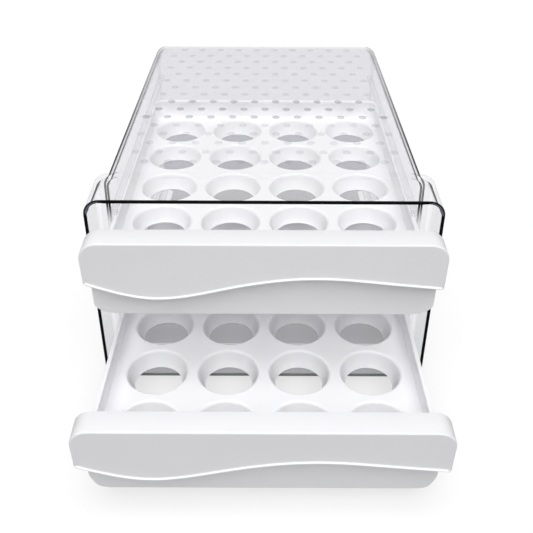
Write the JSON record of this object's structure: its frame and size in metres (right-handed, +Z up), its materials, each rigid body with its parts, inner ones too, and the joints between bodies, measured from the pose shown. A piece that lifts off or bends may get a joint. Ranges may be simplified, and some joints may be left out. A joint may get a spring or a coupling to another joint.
{
  "type": "egg storage box with drawers",
  "caption": "Clear open-fronted case with a flared mouth, holding stacked white drawers with tapered egg cups, waved lipped fronts and finger recesses.",
  "frame": {"origin": "middle of the case's underside, on the surface that it stands on", "axes": "+Z up, +Y from the mouth to the rear of the case, +X to the right seen from the front"},
  "size_m": [0.2298, 0.3943, 0.15],
  "materials": {
    "clear_case": "clear glossy moulded plastic",
    "white_tray": "satin moulded white plastic",
    "white_front": "satin moulded white plastic"
  },
  "bodies": {
    "case": {"case": "clear_case"},
    "upper_drawer": {"upper_tray": "white_tray", "upper_front": "white_front"},
    "lower_drawer": {"lower_tray": "white_tray", "lower_front": "white_front"}
  },
  "joints": [
    {"name": "upper_drawer_slide", "type": "slide", "parent": "case", "child": "upper_drawer", "axis": [0, -1, 0], "range_m": [-0.0416, 0.1484]},
    {"name": "lower_drawer_slide", "type": "slide", "parent": "case", "child": "lower_drawer", "axis": [0, -1, 0], "range_m": [-0.1183, 0.0717]}
  ]
}
